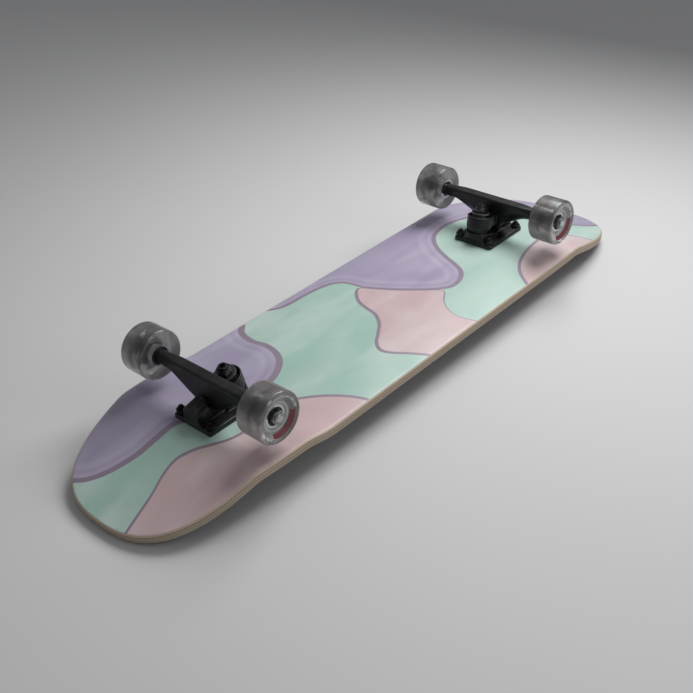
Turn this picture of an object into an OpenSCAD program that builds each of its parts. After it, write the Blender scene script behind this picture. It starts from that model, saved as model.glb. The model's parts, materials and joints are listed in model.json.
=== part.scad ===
// Skateboard, lying upside down on the tips of its nose and tail, wheels up.
// +X runs along the board to the nose, +Y across it, +Z up towards the wheels.
// The origin is on the ground plane, under the middle of the deck's length.

/* [Deck] */
// Width of the deck
deck_width = 203; // [190:1:225]
// Distance from the middle of the two axles to the tail's tip
tail_reach = 370; // [340:1:410]
// Distance from the middle of the two axles to the nose's tip
nose_reach = 378; // [340:1:420]
// Thickness of the seven plies
deck_thickness = 10.5; // [9:0.5:12.5]
// Radius along the edge of the deck
edge_radius = 3; // [2:0.5:4]
// Distance from a truck's axle to the start of its kick
kick_gap = 26; // [26:1:40]
// Bend radius of the kicks
kick_radius = 55; // [40:5:120]
// How far the two tips rise from the deck's level middle line
kick_height = 31.5; // [22:0.5:40]
// How far the rims stand above the middle of the standing side
concave_depth = 5.5; // [3:0.5:8]
// Thickness of the grip tape
grip_thickness = 0.8; // [0.5:0.1:1.2]

/* [Trucks] */
// Distance between the two axles
axle_spacing = 453; // [420:1:480]
// Height of the axle over the deck
axle_height = 39.5; // [38.5:0.5:56]
// Tilt of the steering axis, and of the kingpin from upright
steer_tilt = 13; // [10:1:16]
// Length of the baseplate
base_length = 66; // [64:1:76]
// Width of the baseplate
base_width = 52; // [51:1:58]
// Thickness of the baseplate's flange
flange_thickness = 5; // [4:0.5:7]
// Spacing of the mounting holes along the board
hole_spacing_x = 53.98; // [53:0.01:54.5]
// Spacing of the mounting holes across the board
hole_spacing_y = 41.28; // [40.5:0.01:42]
// Diameter of the hanger's arms at the wheels
arm_end_d = 14; // [12.5:0.5:16]
// Diameter of the hanger's ring around the kingpin
ring_d = 30; // [29:0.5:34]
// Thickness of the hanger's ring
ring_thickness = 7; // [6:0.5:9]
// Diameter of the kingpin
kingpin_d = 9.5; // [8:0.1:10]
// Diameter of the bushings
bushing_d = 24; // [21:0.5:25]
// Height of the bushing next to the baseplate
bottom_bushing_h = 11; // [10:0.5:12]
// Height of the bushing under the kingpin nut
top_bushing_h = 8.5; // [7:0.5:10]
// Diameter of the hanger's pivot
pivot_d = 10.4; // [8:0.2:11]

/* [Wheels] */
// Diameter of the wheels
wheel_d = 52; // [48:0.5:54]
// Width of the wheels
wheel_width = 30; // [28:0.5:34]
// Distance between the middles of the two wheels on one axle
wheel_spacing = 164; // [156:1:176]
// Radius of the wheels' edges
wheel_edge_r = 3; // [2:0.5:6]
// Diameter of the axle
axle_d = 8; // [8:0.01:8]
// Length of the spacer between the two bearings
spacer_length = 10; // [9:0.5:11]
// Thickness of the washers beside the bearings
washer_thickness = 0.8; // [0.5:0.1:1]

/* [Bearings] */
// Outer diameter of the bearings
bearing_d = 22; // [21:0.5:23]
// Width of the bearings
bearing_width = 7; // [7:0.5:7]
// Diameter of the balls
ball_d = 3.97; // [3.5:0.01:4.1]
// Number of balls in one bearing
ball_count = 7; // [6:1:8]

/* [Hardware] */
// Diameter of the mounting bolts
bolt_d = 4.8; // [4:0.1:5]
// Diameter of the bolts' countersunk heads
bolt_head_d = 9.4; // [8:0.1:10]
// Width of the lock nuts across their flats
nut_flats = 9.5; // [8:0.1:9.5]
// Length of the bolts that stands past the lock nuts
bolt_proud = 2.5; // [1.5:0.5:4]

/* [Hidden] */
ENDS = ["tail", "nose"];
TRUCK_PIECES = [
    "baseplate", "pivot_cup", "kingpin", "kingpin_nut", "bottom_bushing", "top_bushing",
    "bottom_washer", "top_washer", "hanger", "axle", "axle_nuts", "speed_washers",
    "bearing_spacers", "bearing_inner_rings", "mounting_bolts", "lock_nuts"
];
WHEEL_PIECES = ["wheel", "bearing_outer_rings", "bearing_shields", "bearing_balls", "bearing_cages"];
$fn = 96;

// Clearances
bore_gap = 0.15;        // bolts in their holes, bushings round the kingpin
pivot_gap = 0.05;       // pivot in its cup
ball_gap = 0.05;        // balls in their races and cages
shield_gap = 0.2;       // shield round the inner ring
seat_gap = 0.1;         // bushings in the hanger's seats

// Deck outline: a straight middle that closes in on round ends
tail_straight = 100;    // where the sides begin to close in, from the middle of the axles
nose_straight = 115;
tail_power = [5, 2.55]; // how late, and how roundly, each end closes
nose_power = [5.5, 3.4];
flat_half = base_width / 2 + 1;     // half width of the flat strip that the trucks stand on
tail_fade = [163, 42];  // where the concave begins to fade, and over what distance
nose_fade = [360, 76];
side_steps = 16;        // stations along the sides, up to where each end turns round
end_steps = 14;         // stations around each end
side_share = 0.75;      // share of an end's length that the sides' stations take
cross_steps = 12;       // columns across the flat faces
edge_steps = 3;         // points around each rounded edge
tip_angle = 89.7;       // last station, just short of the tip itself

kick_start = axle_spacing / 2 + kick_gap;
function end_reach(end) = end < 0 ? tail_reach : nose_reach;

// Angle at which a kick of the bend radius rises by the kick height at the tip
function solve_kick(run) =
    asin(kick_radius / norm([run, kick_radius - kick_height])) - atan2(kick_radius - kick_height, run);
tail_kick_angle = solve_kick(tail_reach - kick_start);
nose_kick_angle = solve_kick(nose_reach - kick_start);
function kick_angle(end) = end < 0 ? tail_kick_angle : nose_kick_angle;
function kick_run(end) = kick_radius * sin(kick_angle(end));

// Half width of the outline at one station, inset from the edge
function end_straight(end) = end < 0 ? tail_straight : nose_straight;
function end_power(end) = end < 0 ? tail_power : nose_power;
function outline_x(end, angle, inset) =
    end_straight(end) + (end_reach(end) - inset - end_straight(end)) * pow(sin(angle), 2 / end_power(end)[0]);
function outline_y(end, angle, inset) =
    (deck_width / 2 - inset) * pow(cos(angle), 2 / end_power(end)[1]);

// Drop of the board's middle line from its level part, at a distance from the middle
function kick_drop(end, x) =
    x < kick_start ? 0
    : x < kick_start + kick_run(end) ? kick_radius - sqrt(pow(kick_radius, 2) - pow(x - kick_start, 2))
    : kick_radius * (1 - cos(kick_angle(end))) + (x - kick_start - kick_run(end)) * tan(kick_angle(end));
function kick_slope(end, x) =
    x < kick_start ? 0
    : x < kick_start + kick_run(end) ? asin((x - kick_start) / kick_radius)
    : kick_angle(end);

// Share of the concave left at a distance from the middle, and its drop towards the rims
function smooth(t) = t * t * (3 - 2 * t);
function fade_left(end, x) =
    let (fade = end < 0 ? tail_fade : nose_fade)
    1 - smooth(max(0, min(1, (x - fade[0]) / fade[1])));
function concave_drop(end, x, y) =
    concave_depth * fade_left(end, x) * pow(max(0, abs(y) - flat_half) / (deck_width / 2 - flat_half), 2);

// A point of the board: x and y on the outline's plan, depth below the wheel side's surface
function board_point(end, x, y, depth) =
    [end * (x - depth * sin(kick_slope(end, x))), y,
     -kick_drop(end, x) - concave_drop(end, x, y) - depth * cos(kick_slope(end, x))];

// Stations along the board: evenly spaced along the sides, then evenly turned around the end
function turn_start(end) = asin(pow(side_share, end_power(end)[0] / 2));
function end_stations(end) = concat(
    [for (i = [0 : side_steps - 1]) [end, asin(pow(side_share * i / side_steps, end_power(end)[0] / 2))]],
    [for (i = [0 : end_steps]) [end, turn_start(end) + (tip_angle - turn_start(end)) * i / end_steps]]
);
function turned_round(list) = [for (i = [len(list) - 1 : -1 : 0]) list[i]];
stations = concat(turned_round(end_stations(-1)), end_stations(1));

// Inset and depth of each point around the deck's edge, from the wheel side's face down
edge_turns = [for (k = [1 : edge_steps]) 90 * k / edge_steps];
edge_profile = concat(
    [for (a = edge_turns) [edge_radius * (1 - sin(a)), edge_radius * (1 - cos(a))]],
    [for (a = turned_round(edge_turns)) [edge_radius * (1 - sin(a)), deck_thickness - edge_radius * (1 - cos(a))]]
);

// One closed ring around the board's section: first the wheel side, then back along the other
function rounded_side(station, side, profile) =
    [for (p = profile)
        board_point(station[0], outline_x(station[0], station[1], p[0]),
                    side * outline_y(station[0], station[1], p[0]), p[1])];
function flat_row(station, depth, direction, inset) =
    [for (j = [0 : cross_steps])
        board_point(station[0], outline_x(station[0], station[1], inset),
                    direction * (1 - 2 * j / cross_steps) * outline_y(station[0], station[1], inset), depth)];
function deck_ring(station) = concat(
    flat_row(station, 0, -1, edge_radius),
    rounded_side(station, 1, edge_profile),
    flat_row(station, deck_thickness, 1, edge_radius),
    rounded_side(station, -1, turned_round(edge_profile))
);
function grip_ring(station) = concat(
    flat_row(station, deck_thickness, -1, edge_radius),
    flat_row(station, deck_thickness + grip_thickness, 1, edge_radius)
);

deck_rings = [for (station = stations) deck_ring(station)];
grip_rings = [for (station = stations) grip_ring(station)];

// The board is moved so that its lowest line is on the ground and its length is centred
deck_low = min([for (ring = grip_rings, p = ring) p[2]]);
deck_shift = -(min([for (ring = deck_rings, p = ring) p[0]]) + max([for (ring = deck_rings, p = ring) p[0]])) / 2;
deck_top = -deck_low;

// Truck, seen from its axle: x outwards to the end of the board, z up from the deck
ring_back = 24.8;       // kingpin's distance from the axle, at the ring
ring_height = 24;       // the ring's middle over the deck
pivot_reach = 41.5;     // from the ring's middle to the pivot's, along the steering axis
base_middle = -7.4;     // the baseplate's middle from the axle
seat_depth = 1.5;       // depth of the bushing seats in the ring
cup_wall = 2.3;         // wall of the pivot cup
housing_wall = 2.8;     // wall of the baseplate around the cup
cup_length = 7;         // straight part of the cup's bore
cup_stand = 0.5;        // the cup stands this much out of its housing
boss_r = bushing_d / 2 + 2.8;
boss_collar_h = 3;      // wall of the boss around the bushing's foot
cup_washer_t = 1.2;
cup_washer_r = bushing_d / 2 + 0.8;
kingpin_washer_t = 1.5;
kingpin_nut_h = 6.5;
kingpin_nut_flats = kingpin_d + 4.8;
kingpin_head_h = 4.2;
kingpin_proud = 2.5;
ring_bore_r = kingpin_d / 2 + 2.3;
seat_s = -ring_thickness / 2 + seat_depth - bottom_bushing_h - cup_washer_t;
head_s = seat_s - 8.1;
top_washer_s = ring_thickness / 2 - seat_depth + top_bushing_h;
nut_s = top_washer_s + kingpin_washer_t;
kingpin_end_s = nut_s + kingpin_nut_h + kingpin_proud;

// Wheel and bearing stack, as distances from the board's middle plane
wheel_in = wheel_spacing / 2 - wheel_width / 2;
outer_bearing_y = wheel_in + bearing_width + spacer_length;
nut_y = outer_bearing_y + bearing_width + washer_thickness;
axle_nut_h = 5.2;
axle_nut_flats = axle_d + 4.7;
axle_end_y = nut_y + axle_nut_h + 0.5;
inner_ring_r = axle_d / 2 + 2.2;        // shoulder of the inner ring
outer_ring_r = bearing_d / 2 - 1.8;     // shoulder of the outer ring
washer_r = axle_d / 2 + 1.6;
spacer_r = axle_d / 2 + 1.3;
ball_circle_r = (inner_ring_r + outer_ring_r) / 2;

lock_nut_h = 5;
bolt_top = flange_thickness + lock_nut_h + bolt_proud;
bolt_bottom = -(deck_thickness + grip_thickness);

// ---------- placing ----------

module at_deck() {
    translate([deck_shift, 0, deck_top]) children();
}

// Puts a truck's pieces at one end; the trucks are the same part, turned to face each other
module at_truck(end) {
    turn = end == "nose" ? 0 : 180;
    side = end == "nose" ? 1 : -1;
    at_deck() translate([side * axle_spacing / 2, 0, 0]) rotate([0, 0, turn]) children();
}

// Along the kingpin: s is measured from the middle of the hanger's ring
module on_kingpin(s = 0) {
    translate([-ring_back, 0, ring_height]) rotate([0, steer_tilt, 0]) translate([0, 0, s]) children();
}

// Along the steering axis, from the middle of the ring out to the pivot
module on_steering_axis(a = 0) {
    translate([-ring_back, 0, ring_height]) rotate([0, 90 + steer_tilt, 0]) translate([0, 0, a]) children();
}

// Along the axle: y is measured out from the board's middle plane, for side 1 or -1
module on_axle(side, y = 0) {
    translate([0, 0, axle_height]) rotate([-90 * side, 0, 0]) translate([0, 0, y]) children();
}

module at_mounting_holes() {
    for (x = [-1, 1], y = [-1, 1])
        translate([base_middle + x * hole_spacing_x / 2, y * hole_spacing_y / 2, 0]) children();
}

// ---------- general shapes ----------

module tube(outer_r, inner_r, h) {
    difference() {
        cylinder(r = outer_r, h = h);
        translate([0, 0, -1]) cylinder(r = inner_r, h = h + 2);
    }
}

module hexagon(flats, h) {
    cylinder(d = flats / cos(30), h = h, $fn = 6);
}

// A solid through a row of rings with the same number of points, closed by a fan at each end.
// Two lofts that share a face but run round it opposite ways take opposite diagonals.
module loft(rings, tip_a, tip_b, swap_diagonals = false) {
    count = len(rings[0]);
    last = len(rings) - 1;
    flat_points = [for (ring = rings, p = ring) p];
    middle_a = len(flat_points);
    sides = [
        for (i = [0 : last - 1], j = [0 : count - 1])
            let (a = i * count + j, b = i * count + (j + 1) % count)
            each swap_diagonals
                ? [[a, b, a + count], [b, b + count, a + count]]
                : [[a, b, b + count], [a, b + count, a + count]]
    ];
    cap_a = [for (j = [0 : count - 1]) [middle_a, (j + 1) % count, j]];
    cap_b = [for (j = [0 : count - 1]) [middle_a + 1, last * count + j, last * count + (j + 1) % count]];
    polyhedron(points = concat(flat_points, [tip_a, tip_b]), faces = concat(sides, cap_a, cap_b));
}

// Point of the board's middle line at one tip
function tip_point(end, depth) = board_point(end, end_reach(end), 0, depth);

// ---------- deck ----------

module deck() {
    color("burlywood") difference() {
        at_deck() loft(deck_rings, tip_point(-1, deck_thickness / 2), tip_point(1, deck_thickness / 2));
        for (end = ENDS) at_truck(end) at_mounting_holes() bolt_hole();
    }
}

module grip_tape() {
    middle = deck_thickness + grip_thickness / 2;
    inset = edge_radius;
    color("#2a2a2c") difference() {
        at_deck() loft(
            grip_rings,
            board_point(-1, tail_reach - inset, 0, middle),
            board_point(1, nose_reach - inset, 0, middle),
            swap_diagonals = true
        );
        for (end = ENDS) at_truck(end) at_mounting_holes() bolt_hole();
    }
}

// ---------- mounting hardware ----------

module bolt_shape(gap) {
    head_h = (bolt_head_d - bolt_d) / 2;
    translate([0, 0, bolt_bottom]) cylinder(d = bolt_d + 2 * gap, h = bolt_top - bolt_bottom);
    translate([0, 0, bolt_bottom]) cylinder(d1 = bolt_head_d + 2 * gap, d2 = bolt_d + 2 * gap, h = head_h);
}

module bolt_hole() {
    bolt_shape(bore_gap);
    translate([0, 0, bolt_bottom - 1]) cylinder(d = bolt_head_d + 2 * bore_gap, h = 1.001);
}

module mounting_bolts(end) {
    slot = 2.2;
    color("#303033") at_truck(end) at_mounting_holes() difference() {
        bolt_shape(0);
        translate([-slot / 2, -slot * 1.2, bolt_bottom - 1]) cube([slot, slot * 2.4, 2.4]);
        translate([-slot * 1.2, -slot / 2, bolt_bottom - 1]) cube([slot * 2.4, slot, 2.4]);
    }
}

module lock_nuts(end) {
    color("#1c1c1e") at_truck(end) at_mounting_holes() translate([0, 0, flange_thickness]) difference() {
        union() {
            hexagon(nut_flats, lock_nut_h * 0.7);
            cylinder(d = nut_flats * 0.86, h = lock_nut_h);
        }
        translate([0, 0, -1]) cylinder(d = bolt_d, h = lock_nut_h + 2);
    }
}

// ---------- baseplate and pivot ----------

module flange_corners(inset, z, h) {
    corner_r = 2.5;
    for (x = [-1, 1], y = [-1, 1])
        translate([base_middle + x * (base_length / 2 - corner_r), y * (base_width / 2 - corner_r), z])
            cylinder(r = corner_r - inset, h = h, $fn = 32);
}

module baseplate(end) {
    chamfer = 1;
    housing_r = pivot_d / 2 + pivot_gap + cup_wall + housing_wall;
    cup_r = housing_r - housing_wall;
    cup_start = pivot_reach - cup_length;
    housing_a = [cup_start + cup_stand, pivot_reach + cup_r + housing_wall];
    color("#161618") at_truck(end) difference() {
        union() {
            hull() {
                flange_corners(0, 0, flange_thickness - chamfer);
                flange_corners(chamfer, 0, flange_thickness);
            }
            // boss under the bushings, with a skirt that runs out on the flange
            hull() {
                on_kingpin(seat_s - 3) cylinder(r = boss_r, h = 3 + boss_collar_h, $fn = 48);
                translate([base_middle - base_length / 2 + 2, -boss_r, flange_thickness - 0.5])
                    cube([boss_r * 2 + 2, boss_r * 2, 0.5]);
            }
            // housing of the pivot cup, with its foot on the flange
            hull() {
                on_steering_axis(housing_a[0])
                    cylinder(r = housing_r, h = housing_a[1] - housing_a[0], $fn = 48);
                translate([base_middle + base_length / 2 - 19, -housing_r - 1, flange_thickness - 0.5])
                    cube([18, housing_r * 2 + 2, 0.5]);
            }
            // ribs between the boss and the housing
            for (side = [-1, 1])
                translate([-boss_r, side * 9 - 2, 1]) cube([boss_r + 12, 4, flange_thickness + 0.5]);
        }
        // nothing reaches below the deck's face or past the flange's outer end
        translate([-100, -100, -50]) cube([200, 200, 50]);
        translate([base_middle + base_length / 2, -100, -1]) cube([50, 200, 100]);
        at_mounting_holes() translate([0, 0, -1]) cylinder(d = bolt_d + 2 * bore_gap, h = 60);
        at_mounting_holes() translate([0, 0, flange_thickness])
            cylinder(d = nut_flats / cos(30) + 1.2, h = 40);
        // room for the cup washer and the bushing, which reach past the boss when they are large
        on_kingpin(seat_s) cylinder(r = cup_washer_r + seat_gap, h = cup_washer_t + bottom_bushing_h);
        on_kingpin(seat_s - 30) cylinder(d = kingpin_d, h = 60);
        on_kingpin(head_s - 20) hexagon(kingpin_nut_flats, 20 + kingpin_head_h);
        on_steering_axis(pivot_reach - 30) cylinder(r = cup_r, h = 30);
        on_steering_axis(pivot_reach) sphere(r = cup_r);
    }
}

module pivot_cup(end) {
    bore_r = pivot_d / 2 + pivot_gap;
    color("#3a3a3c") at_truck(end) difference() {
        union() {
            on_steering_axis(pivot_reach - cup_length) cylinder(r = bore_r + cup_wall, h = cup_length);
            on_steering_axis(pivot_reach) sphere(r = bore_r + cup_wall);
        }
        on_steering_axis(pivot_reach - 30) cylinder(r = bore_r, h = 30);
        on_steering_axis(pivot_reach) sphere(r = bore_r);
    }
}

// ---------- kingpin and its stack ----------

module kingpin(end) {
    socket = 5.5;
    color("#2b2b2e") at_truck(end) difference() {
        union() {
            on_kingpin(head_s) cylinder(d = kingpin_d, h = kingpin_end_s - head_s);
            on_kingpin(head_s) hexagon(kingpin_nut_flats, kingpin_head_h);
        }
        on_kingpin(kingpin_end_s - 4) hexagon(socket, 10);
    }
}

module kingpin_nut(end) {
    color("#242427") at_truck(end) on_kingpin(nut_s) difference() {
        union() {
            hexagon(kingpin_nut_flats, kingpin_nut_h * 0.68);
            cylinder(d = kingpin_nut_flats * 0.9, h = kingpin_nut_h);
        }
        translate([0, 0, -1]) cylinder(d = kingpin_d, h = kingpin_nut_h + 2);
    }
}

module bottom_bushing(end) {
    color("#1a1a1c") at_truck(end) on_kingpin(seat_s + cup_washer_t) difference() {
        rotate_extrude() polygon([
            [0, 0], [bushing_d / 2 - 1.5, 0], [bushing_d / 2, 1.5],
            [bushing_d / 2, bottom_bushing_h], [0, bottom_bushing_h]
        ]);
        translate([0, 0, -1]) cylinder(r = kingpin_d / 2 + bore_gap, h = bottom_bushing_h + 2);
    }
}

module top_bushing(end) {
    color("#1a1a1c") at_truck(end) on_kingpin(ring_thickness / 2 - seat_depth) difference() {
        rotate_extrude() polygon([
            [0, 0], [bushing_d / 2 - 1, 0], [bushing_d / 2 - 1, seat_depth + 1],
            [bushing_d / 2 - 2.5, top_bushing_h], [0, top_bushing_h]
        ]);
        translate([0, 0, -1]) cylinder(r = kingpin_d / 2 + bore_gap, h = top_bushing_h + 2);
    }
}

module bottom_washer(end) {
    color("#4a4a4e") at_truck(end) on_kingpin(seat_s)
        tube(cup_washer_r, kingpin_d / 2 + bore_gap, cup_washer_t);
}

module top_washer(end) {
    color("#4a4a4e") at_truck(end) on_kingpin(top_washer_s)
        tube(bushing_d / 2 - 1, kingpin_d / 2 + bore_gap, kingpin_washer_t);
}

// ---------- hanger ----------

// Half length of the hanger, up to the washers beside the wheels
hanger_half = wheel_in - washer_thickness;
hanger_stations = 36;
hanger_points = 36;
web_full = 9;           // the web is full inside this distance from the middle
web_gone = 52;          // and gone past this one
yoke_full = 13;         // the same for its side towards the ring
yoke_gone = 50;
ridge_full = 38;        // the bar has its flat ridge inside this distance
ridge_gone = hanger_half - 5;
ridge_corner_r = 3;

// Circles that bound the hanger's section at a distance y: [x, z, radius]
function hanger_circles(y) =
    let (
        web_share = max(0, min(1, (abs(y) - web_full) / (web_gone - web_full))),
        web = 1 - (web_share + smooth(web_share)) / 2,
        yoke = pow(1 - max(0, min(1, (abs(y) - yoke_full) / (yoke_gone - yoke_full))), 3),
        ridge = 1 - smooth(max(0, min(1, (abs(y) - ridge_full) / (ridge_gone - ridge_full)))),
        end_r = arm_end_d / 2,
        corner_r = end_r + (ridge_corner_r - end_r) * ridge,
        corner_x = end_r - corner_r,
        corner_z = axle_height + end_r - corner_r
    )
    [
        [corner_x, corner_z, corner_r],
        [-corner_x, corner_z, corner_r],
        [-yoke, axle_height + (17.8 - axle_height) * yoke, end_r + 0.8 * yoke],
        [2 * web, axle_height + (19 - axle_height) * web, end_r - 2 * web]
    ];

// Of the circles, the one that reaches furthest in a direction gives the outline's point
function furthest_point(circles, angle) =
    let (
        reach = [for (c = circles) c[0] * cos(angle) + c[1] * sin(angle) + c[2]],
        best = max(reach),
        pick = [for (i = [0 : len(reach) - 1]) if (reach[i] >= best - 0.000001) i][0],
        c = circles[pick]
    )
    [c[0] + c[2] * cos(angle), c[1] + c[2] * sin(angle)];

function hanger_ring(y) = [
    for (j = [0 : hanger_points - 1])
        let (p = furthest_point(hanger_circles(y), 360 * (j + 0.5) / hanger_points))
        [p[0], y, p[1]]
];

module hanger(end) {
    pad_r = 12;
    rim_h = top_bushing_h - seat_depth - 2.5;
    rim_wall = 2;
    bowl_h = 4.5;
    rings = [for (i = [0 : hanger_stations]) hanger_ring(hanger_half * (2 * i / hanger_stations - 1))];
    neck_end = pivot_reach - cup_length - 1.5;
    color("#1d1d1f") at_truck(end) difference() {
        union() {
            loft(rings, [0, -hanger_half, axle_height], [0, hanger_half, axle_height]);
            // ring around the kingpin, joined to the web by a pad, with a rim around the top bushing
            hull() on_kingpin(-ring_thickness / 2) {
                cylinder(d = ring_d, h = ring_thickness + rim_h, $fn = 64);
                translate([ring_back - pad_r + 4.7, 0, 0])
                    cylinder(r = pad_r, h = ring_thickness + rim_h, $fn = 48);
            }
            // bowl of the ring, around the bottom bushing
            hull() on_kingpin(-ring_thickness / 2 - bowl_h) {
                cylinder(d = ring_d - 1.6, h = 1, $fn = 64);
                translate([0, 0, bowl_h - 1]) cylinder(d = ring_d, h = 2, $fn = 64);
            }
            // pivot, with a cone behind it
            on_steering_axis(20) cylinder(d = pivot_d, h = pivot_reach - 20);
            on_steering_axis(pivot_reach) sphere(d = pivot_d);
            on_steering_axis(neck_end - 8) cylinder(r1 = pivot_d / 2 + 3, r2 = pivot_d / 2 + 0.4, h = 8);
        }
        // room inside the rim
        hull() on_kingpin(ring_thickness / 2) {
            cylinder(r = ring_d / 2 - rim_wall, h = rim_h + 1, $fn = 64);
            translate([4.5, 0, 0]) cylinder(r = pad_r - 1.5, h = rim_h + 1, $fn = 48);
        }
        hull() on_kingpin(-ring_thickness / 2 - bowl_h - 1)
            cylinder(r = bushing_d / 2 + 0.6, h = bowl_h + 1, $fn = 64);
        // bore and seats of the ring
        on_kingpin(-20) cylinder(r = ring_bore_r, h = 40);
        on_kingpin(ring_thickness / 2 - seat_depth) cylinder(d = bushing_d + 2 * seat_gap, h = 30);
        on_kingpin(-ring_thickness / 2 + seat_depth - 30) cylinder(d = bushing_d + 2 * seat_gap, h = 30);
        on_axle(1, -200) cylinder(d = axle_d, h = 400);
    }
}

// ---------- axle ----------

module axle(end) {
    tip = 0.6;
    color("silver") at_truck(end) on_axle(1) union() {
        translate([0, 0, -axle_end_y + tip]) cylinder(d = axle_d, h = 2 * (axle_end_y - tip));
        for (side = [0, 1]) mirror([0, 0, side]) translate([0, 0, axle_end_y - tip])
            cylinder(d1 = axle_d, d2 = axle_d - 2 * tip, h = tip);
    }
}

module on_both_axle_ends(end, y) {
    at_truck(end) for (side = [-1, 1]) on_axle(side, y) children();
}

module axle_nuts(end) {
    color("#8c8c90") on_both_axle_ends(end, nut_y) difference() {
        union() {
            hexagon(axle_nut_flats, axle_nut_h * 0.7);
            cylinder(d = axle_nut_flats * 0.88, h = axle_nut_h);
        }
        translate([0, 0, -1]) cylinder(d = axle_d, h = axle_nut_h + 2);
    }
}

module speed_washers(end) {
    color("silver") {
        on_both_axle_ends(end, wheel_in - washer_thickness) tube(washer_r, axle_d / 2, washer_thickness);
        on_both_axle_ends(end, nut_y - washer_thickness) tube(washer_r, axle_d / 2, washer_thickness);
    }
}

module bearing_spacers(end) {
    color("silver") on_both_axle_ends(end, wheel_in + bearing_width) tube(spacer_r, axle_d / 2, spacer_length);
}

// ---------- bearings and wheels ----------

module at_bearings() {
    for (y = [wheel_in, outer_bearing_y]) translate([0, 0, y]) children();
}

module ball_groove() {
    translate([0, 0, bearing_width / 2]) rotate_extrude()
        translate([ball_circle_r, 0]) circle(r = ball_d / 2 + ball_gap);
}

module bearing_inner_rings(end) {
    color("gainsboro") on_both_axle_ends(end, 0) at_bearings() difference() {
        tube(inner_ring_r, axle_d / 2, bearing_width);
        ball_groove();
    }
}

// Puts a wheel's pieces on its side of the board, the right side being +Y
module at_wheel(end, side) {
    at_truck(end) on_axle((side == "right") == (end == "nose") ? 1 : -1) children();
}

module bearing_outer_rings(end, side) {
    color("gainsboro") at_wheel(end, side) at_bearings() difference() {
        tube(bearing_d / 2, outer_ring_r, bearing_width);
        ball_groove();
    }
}

module bearing_shields(end, side) {
    shield_t = 0.4;
    recess = 0.3;
    color("#222224") at_wheel(end, side) at_bearings() for (z = [recess, bearing_width - recess - shield_t])
        translate([0, 0, z]) tube(outer_ring_r, inner_ring_r + shield_gap, shield_t);
}

module ball_places() {
    for (i = [0 : ball_count - 1])
        rotate([0, 0, 360 * i / ball_count]) translate([ball_circle_r, 0, bearing_width / 2]) children();
}

module bearing_balls(end, side) {
    color("silver") at_wheel(end, side) at_bearings() ball_places() sphere(d = ball_d);
}

module bearing_cages(end, side) {
    cage_t = 0.9;
    back = ball_d / 2 + 0.6;        // the cage's closed rim, behind the balls
    mouth = 0.8;                    // its open rim, which clips over them
    color("#6e6e72") at_wheel(end, side) at_bearings() difference() {
        translate([0, 0, bearing_width / 2 - mouth])
            tube(ball_circle_r + cage_t / 2, ball_circle_r - cage_t / 2, back + mouth);
        ball_places() sphere(d = ball_d + 2 * ball_gap);
    }
}

// The urethane's section, from the inner face to the dished outer face
function arc(x, y, r, from, to, steps = 8) =
    [for (i = [0 : steps]) let (a = from + (to - from) * i / steps) [x + r * cos(a), y + r * sin(a)]];

module wheel(end, side) {
    face = wheel_in + wheel_width;
    r = wheel_d / 2;
    e = wheel_edge_r;
    core_r = outer_ring_r + 0.6;
    seat_r = bearing_d / 2;
    lip_r = seat_r + 6.5;
    lip = 1;
    bearing_face = outer_bearing_y + bearing_width;
    color([0.45, 0.45, 0.47, 0.7]) at_wheel(end, side) rotate_extrude() polygon(concat(
        [[seat_r, wheel_in]],
        arc(r - e, wheel_in + e, e, -90, 0),
        arc(r - e, face - e, e, 0, 90),
        arc(lip_r + lip, face - lip, lip, 90, 180, 4),
        [[lip_r - 2.2, bearing_face + 0.4], [seat_r + 0.6, bearing_face]],
        [[seat_r, bearing_face], [seat_r, outer_bearing_y], [core_r, outer_bearing_y]],
        [[core_r, wheel_in + bearing_width], [seat_r, wheel_in + bearing_width]]
    ));
}

// ---------- the assembly ----------

module truck_piece(end, piece) {
    if (piece == "baseplate") baseplate(end);
    if (piece == "pivot_cup") pivot_cup(end);
    if (piece == "kingpin") kingpin(end);
    if (piece == "kingpin_nut") kingpin_nut(end);
    if (piece == "bottom_bushing") bottom_bushing(end);
    if (piece == "top_bushing") top_bushing(end);
    if (piece == "bottom_washer") bottom_washer(end);
    if (piece == "top_washer") top_washer(end);
    if (piece == "hanger") hanger(end);
    if (piece == "axle") axle(end);
    if (piece == "axle_nuts") axle_nuts(end);
    if (piece == "speed_washers") speed_washers(end);
    if (piece == "bearing_spacers") bearing_spacers(end);
    if (piece == "bearing_inner_rings") bearing_inner_rings(end);
    if (piece == "mounting_bolts") mounting_bolts(end);
    if (piece == "lock_nuts") lock_nuts(end);
}

module wheel_piece(end, side, piece) {
    if (piece == "wheel") wheel(end, side);
    if (piece == "bearing_outer_rings") bearing_outer_rings(end, side);
    if (piece == "bearing_shields") bearing_shields(end, side);
    if (piece == "bearing_balls") bearing_balls(end, side);
    if (piece == "bearing_cages") bearing_cages(end, side);
}

deck();
grip_tape();
for (end = ENDS, piece = TRUCK_PIECES)
    truck_piece(end, piece);
for (end = ENDS, side = ["right", "left"], piece = WHEEL_PIECES)
    wheel_piece(end, side, piece);
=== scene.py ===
import json
from math import asin, atan2, copysign, cos, pi, radians, sin, sqrt, tan

import bmesh
import bpy
import numpy as np
from mathutils import Matrix, Vector


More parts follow.
